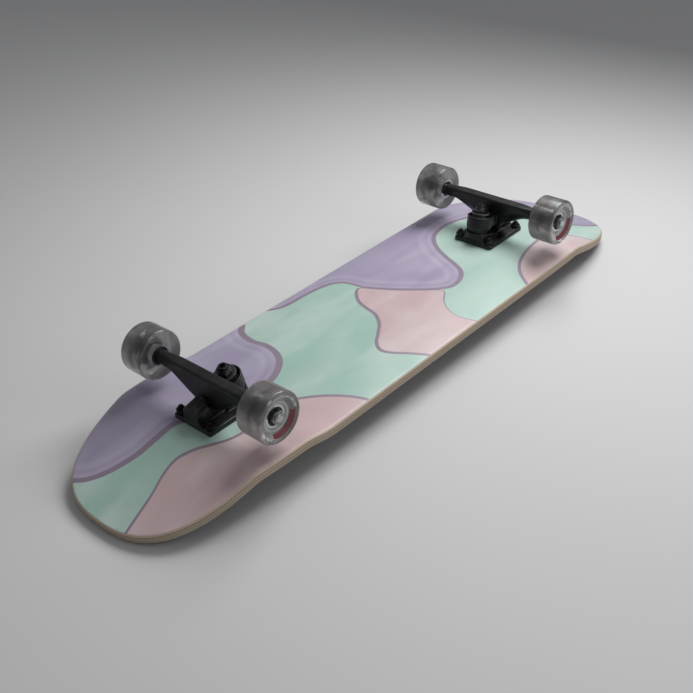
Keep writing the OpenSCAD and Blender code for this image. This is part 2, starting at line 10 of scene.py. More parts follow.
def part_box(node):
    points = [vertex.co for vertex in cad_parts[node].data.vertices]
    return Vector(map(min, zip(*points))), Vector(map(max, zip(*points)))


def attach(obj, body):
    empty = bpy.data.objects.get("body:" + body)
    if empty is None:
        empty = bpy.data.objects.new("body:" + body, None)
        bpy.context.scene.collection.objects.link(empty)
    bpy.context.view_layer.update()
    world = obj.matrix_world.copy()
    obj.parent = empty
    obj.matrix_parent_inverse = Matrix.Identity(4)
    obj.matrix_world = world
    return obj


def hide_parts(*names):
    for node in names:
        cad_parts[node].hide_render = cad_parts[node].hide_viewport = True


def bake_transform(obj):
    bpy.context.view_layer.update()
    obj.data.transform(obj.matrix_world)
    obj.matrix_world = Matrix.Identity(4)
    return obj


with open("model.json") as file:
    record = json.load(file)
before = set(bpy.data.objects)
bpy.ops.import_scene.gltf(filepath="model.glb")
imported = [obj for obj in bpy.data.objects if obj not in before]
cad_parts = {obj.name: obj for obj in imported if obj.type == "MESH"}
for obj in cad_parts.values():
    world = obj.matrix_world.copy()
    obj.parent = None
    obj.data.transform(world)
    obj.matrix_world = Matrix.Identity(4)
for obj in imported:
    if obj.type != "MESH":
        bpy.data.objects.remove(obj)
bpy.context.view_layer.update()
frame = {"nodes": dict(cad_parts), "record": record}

MM = 0.001
ENDS = ("tail", "nose")
SIDES = ("right", "left")
SIGN = {"tail": -1, "nose": 1, "left": -1, "right": 1}

# ---------- sizes of the board, in millimetres, as the part has them ----------

DECK_WIDTH = 203
REACH = {-1: 370, 1: 378}
THICKNESS = 10.5
PLIES = 7
EDGE_RADIUS = 3
KICK_START = 252.5
KICK_RADIUS = 55
KICK_HEIGHT = 31.5
CONCAVE = 5.5
GRIP = 0.8
STRAIGHT = {-1: 100, 1: 115}
POWER = {-1: (5, 2.55), 1: (5.5, 3.4)}
FLAT_HALF = 27
FADE = {-1: (163, 42), 1: (360, 76)}
SIDE_SHARE = 0.75       # share of an end's narrowing length before its outline turns round
STRAIGHT_ROWS = 0.25    # share of the rows that the straight middle takes
SIDE_ROWS = 0.75        # share of the rows up to where the outline turns round

wheel_low, wheel_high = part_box("nose_right_wheel")


def kick_angle(end):
    run = REACH[end] - KICK_START
    rest = KICK_RADIUS - KICK_HEIGHT
    return asin(KICK_RADIUS / sqrt(run * run + rest * rest)) - atan2(rest, run)


def smooth(t):
    t = np.clip(t, 0, 1)
    return t * t * (3 - 2 * t)


def board_middle():
    """Place of the axles' middle along X, and height of the level face the trucks stand on."""
    axles = [sum(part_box(end + "_axle"), Vector()) / 2 for end in ENDS]
    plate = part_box("nose_baseplate")[0]
    return (axles[0].x + axles[1].x) / 2 / MM, plate.z / MM


SHIFT, TOP = board_middle()


def kick_drop(end, x):
    """How far the board's middle line has dropped at x, and its slope there."""
    angle = kick_angle(end)
    run = KICK_RADIUS * sin(angle)
    if x < KICK_START:
        return 0, 0
    if x < KICK_START + run:
        turned = asin((x - KICK_START) / KICK_RADIUS)
        return KICK_RADIUS * (1 - cos(turned)), turned
    return KICK_RADIUS * (1 - cos(angle)) + (x - KICK_START - run) * tan(angle), angle


def concave_drop(end, x, y):
    start, length = FADE[end]
    left = 1 - smooth((x - start) / length)
    across = max(0, abs(y) - FLAT_HALF) / (DECK_WIDTH / 2 - FLAT_HALF)
    return CONCAVE * left * across ** 2


def board_point(end, x, y, depth):
    drop, slope = kick_drop(end, x)
    z = -drop - concave_drop(end, x, y) - depth * cos(slope)
    return Vector((end * (x - depth * sin(slope)) + SHIFT, y, z + TOP)) * MM


def outline(end, t, inset):
    """Distance from the middle and half width of the board at one row, from t = 0 to the tip at 1.
    Rows are evenly spaced along the sides, then evenly turned round the end."""
    half = DECK_WIDTH / 2 - inset
    if t < STRAIGHT_ROWS:
        return STRAIGHT[end] * t / STRAIGHT_ROWS, half
    length_power, width_power = POWER[end]
    turn_start = asin(SIDE_SHARE ** (length_power / 2))
    if t < SIDE_ROWS:
        share = (t - STRAIGHT_ROWS) / (SIDE_ROWS - STRAIGHT_ROWS)
        angle = asin((SIDE_SHARE * share) ** (length_power / 2))
    else:
        angle = turn_start + (pi / 2 - turn_start) * (t - SIDE_ROWS) / (1 - SIDE_ROWS)
    x = STRAIGHT[end] + (REACH[end] - inset - STRAIGHT[end]) * sin(angle) ** (2 / length_power)
    return x, half * max(0, cos(angle)) ** (2 / width_power)


# ---------- objects ----------

def make_object(name, bm, *materials):
    mesh = bpy.data.meshes.new(name)
    bm.to_mesh(mesh)
    bm.free()
    obj = bpy.data.objects.new(name, mesh)
    bpy.context.scene.collection.objects.link(obj)
    for material in materials:
        mesh.materials.append(material)
    return obj


def apply_modifiers(obj):
    graph = bpy.context.evaluated_depsgraph_get()
    mesh = bpy.data.meshes.new_from_object(obj.evaluated_get(graph))
    obj.modifiers.clear()
    obj.data = mesh
    return obj


def shade(obj, angle=35):
    """Smooth shading, with creases where faces meet at more than the angle."""
    obj.data.shade_smooth()
    obj.data.set_sharp_from_angle(angle=radians(angle))
    return obj


def settle(obj, body, slot, *nodes):
    """The finished piece rides on its body and stands for its CAD nodes."""
    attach(obj, body)
    if nodes:
        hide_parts(*nodes)
    return obj


def cad_copy(node):
    bm = bmesh.new()
    bm.from_mesh(frame["nodes"][node].data)
    bmesh.ops.remove_doubles(bm, verts=bm.verts, dist=1e-6)
    return bm


# ---------- materials ----------

class Finish:
    """A material being made: its shader's sockets, and the textures that lead into them."""

    def __init__(self, name, color=(0.5, 0.5, 0.5), **sockets):
        self.material = bpy.data.materials.new(name)
        self.material.use_nodes = True
        self.tree = self.material.node_tree
        self.shader = self.tree.nodes["Principled BSDF"]
        self.place = self.add("ShaderNodeTexCoord").outputs["Object"]
        self.set("Base Color", (*color, 1))
        for socket, value in sockets.items():
            self.set(socket.replace("_", " ").title().replace("Ior", "IOR"), value)

    def add(self, kind, **settings):
        node = self.tree.nodes.new(kind)
        for key, value in settings.items():
            setattr(node, key, value)
        return node

    def set(self, socket, value):
        self.shader.inputs[socket].default_value = value

    def join(self, source, target):
        self.tree.links.new(source, target)

    def feed(self, node, socket, value):
        """A socket takes a link or a plain value."""
        if isinstance(value, bpy.types.NodeSocket):
            self.join(value, node.inputs[socket])
        else:
            node.inputs[socket].default_value = value

    def to(self, socket, source):
        self.join(source, self.shader.inputs[socket])

    def attribute(self, name):
        return self.add("ShaderNodeAttribute", attribute_name=name).outputs["Fac"]

    def stretched(self, scale, turn=0):
        """Object coordinates, stretched by a scale along each axis, and turned about Z."""
        mapping = self.add("ShaderNodeMapping")
        mapping.inputs["Scale"].default_value = scale
        mapping.inputs["Rotation"].default_value = (0, 0, turn)
        self.join(self.place, mapping.inputs["Vector"])
        return mapping.outputs["Vector"]

    def noise(self, scale, detail=2, roughness=0.5, place=None, distortion=0):
        node = self.add("ShaderNodeTexNoise")
        node.inputs["Scale"].default_value = scale
        node.inputs["Detail"].default_value = detail
        node.inputs["Roughness"].default_value = roughness
        node.inputs["Distortion"].default_value = distortion
        self.join(place or self.place, node.inputs["Vector"])
        return node.outputs["Fac"]

    def fade(self, value, low, high, low_out=0, high_out=1):
        node = self.add("ShaderNodeMapRange", interpolation_type="SMOOTHSTEP")
        ends = {"From Min": low, "From Max": high, "To Min": low_out, "To Max": high_out}
        for socket, amount in ends.items():
            node.inputs[socket].default_value = amount
        self.join(value, node.inputs["Value"])
        return node.outputs["Result"]

    def math(self, operation, a, b=0):
        node = self.add("ShaderNodeMath", operation=operation)
        self.feed(node, 0, a)
        self.feed(node, 1, b)
        return node.outputs["Value"]

    def mix(self, share, a, b, blend="MIX"):
        node = self.add("ShaderNodeMix", data_type="RGBA", blend_type=blend)
        self.feed(node, "Factor", share)
        for socket, value in ((6, a), (7, b)):
            self.feed(node, socket, (*value, 1) if isinstance(value, tuple) else value)
        return node.outputs[2]

    def bump(self, height, distance, strength=1):
        node = self.add("ShaderNodeBump")
        node.inputs["Distance"].default_value = distance
        node.inputs["Strength"].default_value = strength
        self.join(height, node.inputs["Height"])
        self.to("Normal", node.outputs["Normal"])


def printed_face():
    """Pastel print under satin lacquer: blobs of lilac and pink on mint, edged with mauve.
    The attributes say how far inside a blob a point is, and inside the band along its edge."""
    mint, mint_pale = (0.37, 0.565, 0.485), (0.545, 0.675, 0.62)
    lilac, lilac_pale = (0.36, 0.31, 0.44), (0.51, 0.46, 0.58)
    pink, pink_pale = (0.60, 0.43, 0.44), (0.69, 0.58, 0.58)
    mauve, grey_mauve = (0.29, 0.20, 0.30), (0.29, 0.26, 0.30)
    f = Finish("printed_face", roughness=0.42, coat_weight=0.15, coat_roughness=0.3)
    clouds = f.fade(f.noise(9, 3, 0.5, f.stretched((1, 1.6, 1), 0.6), 0.6), 0.34, 0.68)
    strokes = f.fade(f.noise(16, 2, 0.4, f.stretched((0.5, 2.2, 1), -0.7), 0.3), 0.42, 0.72)
    tone = f.math("MULTIPLY", f.math("ADD", clouds, strokes), 0.5)
    band = f.mix(f.noise(22, 2), mauve, grey_mauve)
    field = f.attribute("lilac_field")
    halo = f.math("MULTIPLY", f.fade(field, 0, 1.5), f.fade(field, 7, 3))
    ring = f.math("MULTIPLY", f.fade(field, 7, 12), f.fade(field, 20, 13))
    lilac_tone = f.math("ADD", f.math("MULTIPLY", tone, 0.75), f.math("MULTIPLY", ring, 0.35))
    lilac_tone = f.math("ADD", lilac_tone, f.math("MULTIPLY", halo, 0.25))
    color = f.mix(tone, mint, mint_pale)
    blobs = {"lilac": f.mix(lilac_tone, lilac, lilac_pale), "pink": f.mix(tone, pink, pink_pale)}
    for name, blob in blobs.items():
        blob = f.mix(f.fade(f.attribute(name + "_field"), -0.35, 0.35), band, blob)
        color = f.mix(f.fade(f.attribute(name), -0.3, 0.3), color, blob)
    f.to("Base Color", color)
    f.to("Roughness", f.fade(f.noise(60, 3), 0.3, 0.7, 0.38, 0.48))
    f.bump(f.noise(260, 2), 0.00004, 0.3)
    return f.material


def ply_edge():
    """Maple plies with thin dark glue lines, sanded and left bare."""
    f = Finish("ply_edge", roughness=0.55, specular_ior_level=0.35)
    position = f.math("MULTIPLY", f.attribute("depth"), PLIES / THICKNESS)
    share = f.math("FRACT", position)
    from_line = f.math("MINIMUM", share, f.math("SUBTRACT", 1, share))
    odd = f.math("GREATER_THAN", f.math("FRACT", f.math("MULTIPLY", position, 0.5)), 0.5)
    grain = f.noise(240, 4, 0.6, f.stretched((0.15, 0.15, 2.5)))
    wood = f.mix(grain, (0.46, 0.37, 0.28), (0.62, 0.52, 0.41))
    wood = f.mix(f.math("MULTIPLY", odd, 0.45), wood, (0.27, 0.20, 0.145))
    color = f.mix(f.fade(from_line, 0.05, 0.16), (0.16, 0.115, 0.085), wood)
    f.to("Base Color", color)
    f.to("Roughness", f.fade(grain, 0.3, 0.7, 0.48, 0.66))
    f.bump(grain, 0.00008, 0.5)
    return f.material


def grit():
    """Black silicon-carbide grip tape."""
    f = Finish("grip_grit", roughness=0.9)
    grains = f.add("ShaderNodeTexVoronoi")
    grains.inputs["Scale"].default_value = 1600
    f.join(f.place, grains.inputs["Vector"])
    sparkle = f.fade(grains.outputs["Color"], 0.78, 0.98)
    wear = f.fade(f.noise(14, 4), 0.45, 0.75)
    color = f.mix(sparkle, (0.012, 0.012, 0.013), (0.10, 0.10, 0.105))
    f.to("Base Color", f.mix(f.math("MULTIPLY", wear, 0.3), color, (0.05, 0.05, 0.052)))
    f.to("Roughness", f.fade(grains.outputs["Distance"], 0, 0.6, 0.7, 0.95))
    f.bump(grains.outputs["Distance"], 0.0003, 0.8)
    return f.material


def metal(name, color, roughness, tarnish=0.7, spread=0.12, metallic=1.0, lines=(1, 1, 1)):
    """Metal with tool marks and slight stains."""
    f = Finish(name, color, metallic=metallic)
    marks = f.noise(900, 3, 0.6, f.stretched(lines))
    stains = f.noise(130, 3)
    dark = tuple(channel * tarnish for channel in color)
    f.to("Base Color", f.mix(f.fade(stains, 0.35, 0.7), dark, color))
    f.to("Roughness", f.fade(marks, 0.3, 0.7, roughness - spread / 2, roughness + spread / 2))
    f.bump(marks, 0.00002, 0.5)
    return f.material


def truck_coat():
    """Black powder coat on cast aluminium: fine orange peel and a little dust."""
    f = Finish("truck_coat", roughness=0.4, metallic=0.15, specular_ior_level=0.5)
    peel = f.noise(1500, 2)
    dust = f.fade(f.noise(40, 5, 0.65), 0.5, 0.85)
    f.to("Base Color", f.mix(f.math("MULTIPLY", dust, 0.35), (0.009, 0.0095, 0.010), (0.05, 0.05, 0.052)))
    f.to("Roughness", f.fade(f.noise(90, 4), 0.3, 0.75, 0.32, 0.5))
    f.bump(peel, 0.00003, 0.5)
    return f.material


def rubber(name, color, roughness=0.5):
    """Moulded urethane or rubber with a slight bloom."""
    f = Finish(name, color, specular_ior_level=0.45)
    bloom = f.fade(f.noise(160, 4, 0.6), 0.45, 0.8)
    f.to("Base Color", f.mix(f.math("MULTIPLY", bloom, 0.4), color, tuple(c * 2 + 0.01 for c in color)))
    f.to("Roughness", f.fade(bloom, 0, 1, roughness - 0.08, roughness + 0.1))
    f.bump(f.noise(700, 2), 0.00003, 0.4)
    return f.material


def smoke_urethane():
    """Smoke-grey urethane, cloudy enough to blur what is behind it, ground to size."""
    f = Finish("smoke_urethane", ior=1.4, transmission_weight=0.92, coat_weight=0.4, coat_roughness=0.12)
    mist = f.noise(40, 2)
    f.to("Base Color", f.mix(f.fade(mist, 0.3, 0.7), (0.37, 0.36, 0.355), (0.43, 0.42, 0.415)))
    scuffs = f.noise(160, 4, 0.65, f.stretched((1, 0.2, 1)))
    f.to("Roughness", f.fade(scuffs, 0.35, 0.75, 0.28, 0.36))
    return f.material


def lip_painted_highlight():
    """The urethane's polished bevel round the bearing, with a painted highlight: pale, opaque colour where
    light catches the bevel.
    """
    f = Finish("lip_painted_highlight", ior=1.45, coat_weight=0.4, coat_roughness=0.15)
    mist = f.noise(90, 3)
    f.to("Base Color", f.mix(f.fade(mist, 0.3, 0.7), (0.40, 0.41, 0.40), (0.48, 0.49, 0.48)))
    f.to("Roughness", f.fade(mist, 0.3, 0.7, 0.4, 0.5))
    return f.material


def ink(name, color):
    """Pad-printed ink with thin places."""
    f = Finish(name, color, roughness=0.45)
    thin = f.fade(f.noise(900, 3), 0.35, 0.6)
    f.to("Base Color", f.mix(thin, tuple(c * 0.75 for c in color), color))
    f.to("Roughness", f.fade(thin, 0, 1, 0.55, 0.4))
    return f.material


FINISHES = {
    "truck_black": truck_coat(),
    "grip_tape": grit(),
    "pivot_rubber": rubber("pivot_rubber", (0.02, 0.02, 0.021), 0.6),
    "bushing_rubber": rubber("bushing_rubber", (0.014, 0.014, 0.015), 0.42),
    "black_steel": metal("black_steel", (0.10, 0.10, 0.105), 0.3, 0.6),
    "bolt_black": metal("bolt_black", (0.035, 0.035, 0.037), 0.4, 0.6),
    "dark_washer": metal("dark_washer", (0.16, 0.16, 0.165), 0.3, 0.7),
    "axle_steel": metal("axle_steel", (0.56, 0.57, 0.58), 0.26, 0.8, lines=(1, 0.2, 1)),
    "axle_nut_steel": metal("axle_nut_steel", (0.36, 0.37, 0.38), 0.3, 0.7),
    "bearing_steel": metal("bearing_steel", (0.6, 0.6, 0.61), 0.16, 0.9, 0.06),
    "bearing_shield": metal("bearing_shield", (0.03, 0.03, 0.031), 0.36, 0.7, metallic=0.4),
    "bearing_cage": metal("bearing_cage", (0.30, 0.29, 0.27), 0.35, 0.8),
    "smoke_urethane": smoke_urethane(),
}
LIP_PAINTED_HIGHLIGHT = lip_painted_highlight()
PRINT = printed_face()
PLY = ply_edge()
PALE_INK = ink("pale_ink", (0.85, 0.85, 0.85))
RED_INK = ink("red_ink", (0.24, 0.05, 0.065))


# ---------- deck ----------

def slab(rows, columns, levels, profile):
    """A unit slab bent to the board: rows along it, columns across, levels down its edge.
    The profile gives each level's inset from the outline and depth below the trucks' face."""
    bm = bmesh.new()
    bmesh.ops.create_grid(bm, x_segments=2 * rows, y_segments=columns, size=1)
    top = list(bm.faces)
    walled = bmesh.ops.extrude_face_region(bm, geom=top, use_keep_orig=True)["geom"]
    lowered = [v for v in walled if isinstance(v, bmesh.types.BMVert)]
    bmesh.ops.translate(bm, verts=lowered, vec=(0, 0, -1))
    upright = [e for e in bm.edges if abs(e.verts[0].co.z - e.verts[1].co.z) > 0.5]
    if levels > 1:
        bmesh.ops.subdivide_edges(bm, edges=upright, cuts=levels - 1)
    for vert in bm.verts:
        end = -1 if vert.co.x < 0 else 1
        inset, depth = profile(round(-vert.co.z * levels))
        x, half = outline(end, abs(vert.co.x), inset)
        vert.co = board_point(end, x, vert.co.y * half, depth)
    bmesh.ops.remove_doubles(bm, verts=bm.verts, dist=1e-5)
    bmesh.ops.recalc_face_normals(bm, faces=bm.faces)
    return bm


ARC_STEPS = 5


def rounded_edge(level):
    """Inset and depth down the deck's edge: an arc, a straight wall and an arc."""
    last = 2 * ARC_STEPS + 1
    angle = pi / 2 * min(level, last - level) / ARC_STEPS
    depth = EDGE_RADIUS * (1 - cos(angle))
    return EDGE_RADIUS * (1 - sin(angle)), depth if level <= ARC_STEPS else THICKNESS - depth


def tape_edge(level):
    return EDGE_RADIUS, THICKNESS + GRIP * level


def curve_through(points, steps=8):
    """A smooth closed line through the points, as a Catmull-Rom curve."""
    p = np.array(points, float)
    a, b, c = np.roll(p, 1, 0), np.roll(p, -1, 0), np.roll(p, -2, 0)
    t = np.linspace(0, 1, steps, endpoint=False)[None, :, None]
    p, a, b, c = (q[:, None, :] for q in (p, a, b, c))
    square = (2 * a - 5 * p + 4 * b - c) * t ** 2
    cube = (3 * p - a - 3 * b + c) * t ** 3
    line = 0.5 * (2 * p + (b - a) * t + square + cube)
    return line.reshape(-1, 2)


def blob_distance(places, line):
    """Distance in mm from a closed line, positive inside it, and the outward direction there."""
    start, end = line, np.roll(line, -1, 0)
    along = end - start
    length = (along ** 2).sum(1)
    best = np.full(len(places), 1e9)
    direction = np.zeros((len(places), 2))
    crossings = np.zeros(len(places), int)
    for s, e, d, n in zip(start, end, along, length):
        t = np.clip(((places - s) @ d) / max(n, 1e-9), 0, 1)
        offset = places - s - t[:, None] * d
        distance = np.hypot(offset[:, 0], offset[:, 1])
        nearer = distance < best
        best[nearer] = distance[nearer]
        direction[nearer] = (d[1], -d[0])
        spans = (s[1] > places[:, 1]) != (e[1] > places[:, 1])
        reach = s[0] + (places[:, 1] - s[1]) * d[0] / (d[1] if d[1] else 1e-9)
        crossings += spans & (places[:, 0] < reach)
    inside = crossings % 2 == 1
    direction /= np.hypot(direction[:, 0], direction[:, 1])[:, None] + 1e-9
    area = (line[:, 0] * np.roll(line[:, 1], -1) - np.roll(line[:, 0], -1) * line[:, 1]).sum()
    return np.where(inside, best, -best), direction * np.sign(area)


# The print's blobs, as points round each one in mm: x along the board, y across it.
# A blob that runs off the board closes outside it.
LILAC_BLOBS = {
    "tail": [
        (-392, 96), (-366, 66), (-352, 45), (-338, 33), (-322, 25), (-303, 19), (-282, 17), (-262, 14),
        (-240, 2), (-212, -7), (-180, -11), (-155, -8), (-138, 0), (-125, 11), (-117, 26), (-114, 44),
        (-116, 63), (-110, 84), (-94, 104), (-84, 150), (-240, 170), (-370, 150),
    ],
    "far": [
        (-72, 118), (-66, 102), (-54, 89), (-38, 84.5), (-18, 83.5), (2, 81), (17, 76), (26, 67), (29, 54),
        (31, 38), (43, 14), (59, -10), (74, -29), (87, -40), (100, -42), (114, -38), (127, -28), (135, -14),
        (142, 3), (153, 25), (168, 43), (184, 52), (204, 55), (222, 52), (240, 43), (258, 28), (276, 8),
        (293, -15), (312, -41), (334, -59), (362, -71), (410, -84), (430, 100), (180, 170), (-60, 160),
    ],
}
PINK_BLOBS = {
    "tail": [
        (-398, -42), (-370, -34), (-348, -28.5), (-328, -23.5), (-308, -16.5), (-290, -14.5), (-274, -22),
        (-260, -33), (-244, -40.5), (-222, -43), (-192, -41), (-168, -44), (-150, -56), (-134, -72),
        (-122, -89), (-116, -106), (-112, -150), (-240, -170), (-380, -140),
    ],
    "middle": [
        (-18, -120), (-26, -101), (-38, -84), (-50, -69), (-54, -57), (-47, -45), (-33, -35), (-17, -23),
        (-6, -8), (-2, 8), (3, 23), (12, 35), (22, 43), (29, 42), (37, 27), (50, 4), (66, -18), (78, -34),
        (76, -42), (64, -50), (53, -63), (49, -80), (55, -97), (66, -118), (30, -160),
    ],
    "nose": [
        (140, -118), (149, -98), (162, -80), (180, -67), (203, -59), (228, -55), (252, -55), (271, -61),
        (285, -73), (297, -90), (310, -112), (260, -160), (180, -160),
    ],
}
# Widths of the bands in mm, and the directions in which they are wider
BAND = {"tail": 6.0, "far": 4.5}
PINK_BAND = {"tail": 2.2, "middle": 2.6, "nose": 2.4}
LILAC_LEAN = (0.5, -0.85)
PINK_LEAN = {"tail": (0.8, 0.6), "middle": (-0.9, 0.1), "nose": (-0.9, 0.4)}
OUTSIDE = -999.0


def paint_print(obj):
    """Stores on the deck's points how far inside each blob and its band they lie, and their depth."""
    co = np.empty(len(obj.data.vertices) * 3)
    obj.data.vertices.foreach_get("co", co)
    co = co.reshape(-1, 3) / MM
    places = co[:, :2]
    lilac, lilac_field, pink, pink_field = (np.full(len(co), OUTSIDE) for _ in range(4))
    for name, points in LILAC_BLOBS.items():
        distance, outward = blob_distance(places, curve_through(points))
        width = BAND[name] * (0.85 + 0.35 * (outward @ np.array(LILAC_LEAN)))
        lilac = np.maximum(lilac, distance)
        lilac_field = np.maximum(lilac_field, distance - width)
    for name, points in PINK_BLOBS.items():
        distance, outward = blob_distance(places, curve_through(points))
        width = PINK_BAND[name] * (1 + 0.7 * (outward @ np.array(PINK_LEAN[name])))
        pink = np.maximum(pink, distance)
        pink_field = np.maximum(pink_field, distance - width)
    depth = [depth_of(point) for point in co]
    layers = {
        "lilac": lilac, "lilac_field": lilac_field, "pink": pink, "pink_field": pink_field, "depth": depth}
    for name, values in layers.items():
        layer = obj.data.attributes.new(name, "FLOAT", "POINT")
        layer.data.foreach_set("value", np.asarray(values, np.float32))


def depth_of(point):
    """Depth of a point of the deck below the face that the trucks stand on."""
    along = abs(point[0] - SHIFT)
    end = -1 if point[0] < SHIFT else 1
    x = along
    for _ in range(3):
        drop, slope = kick_drop(end, x)
        depth = (TOP - drop - concave_drop(end, x, point[1]) - point[2]) / cos(slope)
        x = along + depth * sin(slope)
    return depth


BOLT_HEAD_R = 4.7
BOLT_HOLE_R = 4.85
CUTTER_LENGTH = 6


def bolt_hole_cutter():
    """Cylinders at the bolts' heads, as one mesh to cut out of the grip tape."""
    bm = bmesh.new()
    hole = BOLT_HOLE_R * MM
    for end in ENDS:
        low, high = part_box(end + "_mounting_bolts")
        for x in (low.x, high.x):
            for y in (low.y, high.y):
                inwards_x = copysign(BOLT_HEAD_R * MM, (low.x + high.x) / 2 - x)
                inwards_y = copysign(BOLT_HEAD_R * MM, -y)
                bmesh.ops.create_cone(
                    bm, cap_ends=True, segments=48, radius1=hole, radius2=hole, depth=CUTTER_LENGTH * MM,
                    matrix=Matrix.Translation((x + inwards_x, y + inwards_y, low.z)))
    return make_object("bolt_hole_cutter", bm)


def cut(obj, cutter):
    modifier = obj.modifiers.new("holes", "BOOLEAN")
    modifier.object = cutter
    modifier.operation = "DIFFERENCE"
    modifier.solver = "EXACT"
    apply_modifiers(obj)


PRINTED_DEPTH = 0.25     # the print reaches this far down the rounded edge


def make_board():
    rows, columns = ((130, 80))
    deck = make_object("deck_plies", slab(rows, columns, 2 * ARC_STEPS + 1, rounded_edge), PRINT, PLY)
    tape = make_object("grip_sheet", slab(60, 28, 1, tape_edge), FINISHES["grip_tape"])
    cutter = bolt_hole_cutter()
    cut(tape, cutter)
    bpy.data.objects.remove(cutter)
    paint_print(deck)
    depths = deck.data.attributes["depth"].data
    for face in deck.data.polygons:
        deepest = max(depths[v].value for v in face.vertices)
        face.material_index = 0 if deepest < PRINTED_DEPTH else 1
    settle(shade(deck, 50), "board", "deck_maple", "deck")
    settle(shade(tape, 50), "board", "grip_tape", "grip_tape")


# ---------- trucks ----------

SLOTS = {row["node"]: row["material_slot"] for row in frame["record"]["subparts"]}
BODIES = frame["record"]["behaviour"]["bodies"]
BODY_OF = {node: body for body, nodes in BODIES.items() for node in nodes}
EDGED_PIECES = (
    "kingpin", "kingpin_nut", "bottom_washer", "top_washer", "axle", "axle_nuts", "speed_washers",
    "mounting_bolts", "lock_nuts",
)
BROKEN_EDGE = 0.25
SKIN_ROUNDS = 5          # smoothing rounds of a casting's skin


def cast_copy(node, name):
    """A CAD piece with the soft edges of a casting."""
    obj = make_object(name, cad_copy(node), FINISHES["truck_black"])
    remesh = obj.modifiers.new("skin", "REMESH")
    remesh.mode = "VOXEL"
    remesh.voxel_size = 0.55 * MM
    soften = obj.modifiers.new("soften", "SMOOTH")
    soften.factor = 0.5
    soften.iterations = SKIN_ROUNDS
    apply_modifiers(obj)
    obj.data.materials.clear()
    obj.data.materials.append(FINISHES["truck_black"])
    obj.data.shade_smooth()
    return obj


def edged_copy(node, name, slot):
    """A CAD piece with its sharp edges broken."""
    bm = cad_copy(node)
    bmesh.ops.dissolve_limit(bm, angle_limit=radians(0.5), verts=bm.verts, edges=bm.edges)
    sharp = [e for e in bm.edges if e.is_manifold and e.calc_face_angle(0) > radians(28)]
    bmesh.ops.bevel(
        bm, geom=sharp, offset=BROKEN_EDGE * MM, offset_type="OFFSET", segments=3, profile=0.5,
        affect="EDGES", material=-1, clamp_overlap=True)
    bmesh.ops.recalc_face_normals(bm, faces=bm.faces)
    return shade(make_object(name, bm, FINISHES[slot]), 32)


def middle(node):
    low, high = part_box(node)
    return (low + high) / 2


def make_bushing(end, place):
    """A bushing between its washer, on the board, and its seat in the hanger, as a copy with its sharp
    edges broken.
    """
    node = f"{end}_{place}_bushing"
    obj = edged_copy(node, node + "_finished", SLOTS[node])
    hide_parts(node)
    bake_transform(obj)


def make_truck(end):
    for piece in ("hanger", "baseplate"):
        node = f"{end}_{piece}"
        settle(cast_copy(node, node + "_casting"), BODY_OF[node], SLOTS[node], node)
    for piece in EDGED_PIECES:
        node = f"{end}_{piece}"
        settle(edged_copy(node, node + "_finished", SLOTS[node]), BODY_OF[node], SLOTS[node], node)
    for place in ("bottom", "top"):
        make_bushing(end, place)


# ---------- wheels ----------

WHEEL_R = (wheel_high.z - wheel_low.z) / 2 / MM
WHEEL_IN = wheel_low.y / MM
WHEEL_OUT = wheel_high.y / MM
TREAD_EDGE = 3           # radius of the tread's edges
BORE_R = 11              # the bearings' seats
CORE_R = 9.8             # the bore between the seats
BEARING = 7
SPACER = 10
BEARING_FACE = WHEEL_IN + 2 * BEARING + SPACER
DISH_R = 23              # the outer face is dished, from its rim down to a lip that carries a painted highlight
DISH_DEPTH = 4.6
LIP_R = 15
LIP_INNER_R = 12.6
SHIELD_R = 9.2
SHIELD_BORE_R = 6.45
MARK_RING = (19.6, 21.8)
MARK_ROWS = ((248, 15), (124, 7))    # first angle of each row of marks, and their number
MARK_STEP = 7.4
RED_RING = (16, 20.4)
RED_START = 4
RED_SWEEP = 112


def arc_points(x, y, r, start, stop, steps):
    angles = [radians(start + (stop - start) * i / steps) for i in range(steps + 1)]
    return [(x + r * cos(angle), y + r * sin(angle)) for angle in angles]


def wheel_section():
    """Half section of the urethane: radius and distance from the board's middle plane."""
    inner_bearing = WHEEL_IN + BEARING
    outer_bearing = BEARING_FACE - BEARING
    return (
        [(BORE_R, WHEEL_IN)]
        + arc_points(WHEEL_R - TREAD_EDGE, WHEEL_IN + TREAD_EDGE, TREAD_EDGE, -90, 0, 10)
        + arc_points(WHEEL_R - TREAD_EDGE, WHEEL_OUT - TREAD_EDGE, TREAD_EDGE, 0, 90, 10)
        + [(LIP_R, WHEEL_OUT - DISH_DEPTH), (LIP_INNER_R, WHEEL_OUT - DISH_DEPTH - 0.2)]
        + [(LIP_INNER_R - 0.6, BEARING_FACE)]
        + [(BORE_R, BEARING_FACE), (BORE_R, outer_bearing), (CORE_R, outer_bearing)]
        + [(CORE_R, inner_bearing), (BORE_R, inner_bearing)]
    )


def spun(points, axle, side, steps, closed=True, sweep=2 * pi, start=0):
    """The points, as radius and distance from the middle plane, spun round an axle."""
    bm = bmesh.new()
    verts = [bm.verts.new((r * MM, side * y * MM, 0)) for r, y in points]
    pairs = zip(verts, verts[1:] + verts[:1]) if closed else zip(verts, verts[1:])
    edges = [bm.edges.new(pair) for pair in pairs]
    full = sweep > 2 * pi - 0.001
    turn = Matrix.Rotation(start, 4, "Y")
    bmesh.ops.transform(bm, matrix=turn, verts=bm.verts)
    bmesh.ops.spin(
        bm, geom=verts + edges, cent=(0, 0, 0), axis=(0, 1, 0), angle=sweep, steps=steps,
        use_merge=full, use_duplicate=False)
    bmesh.ops.remove_doubles(bm, verts=bm.verts, dist=1e-7)
    bmesh.ops.recalc_face_normals(bm, faces=bm.faces)
    bmesh.ops.translate(bm, verts=bm.verts, vec=(axle.x, 0, axle.z))
    return bm


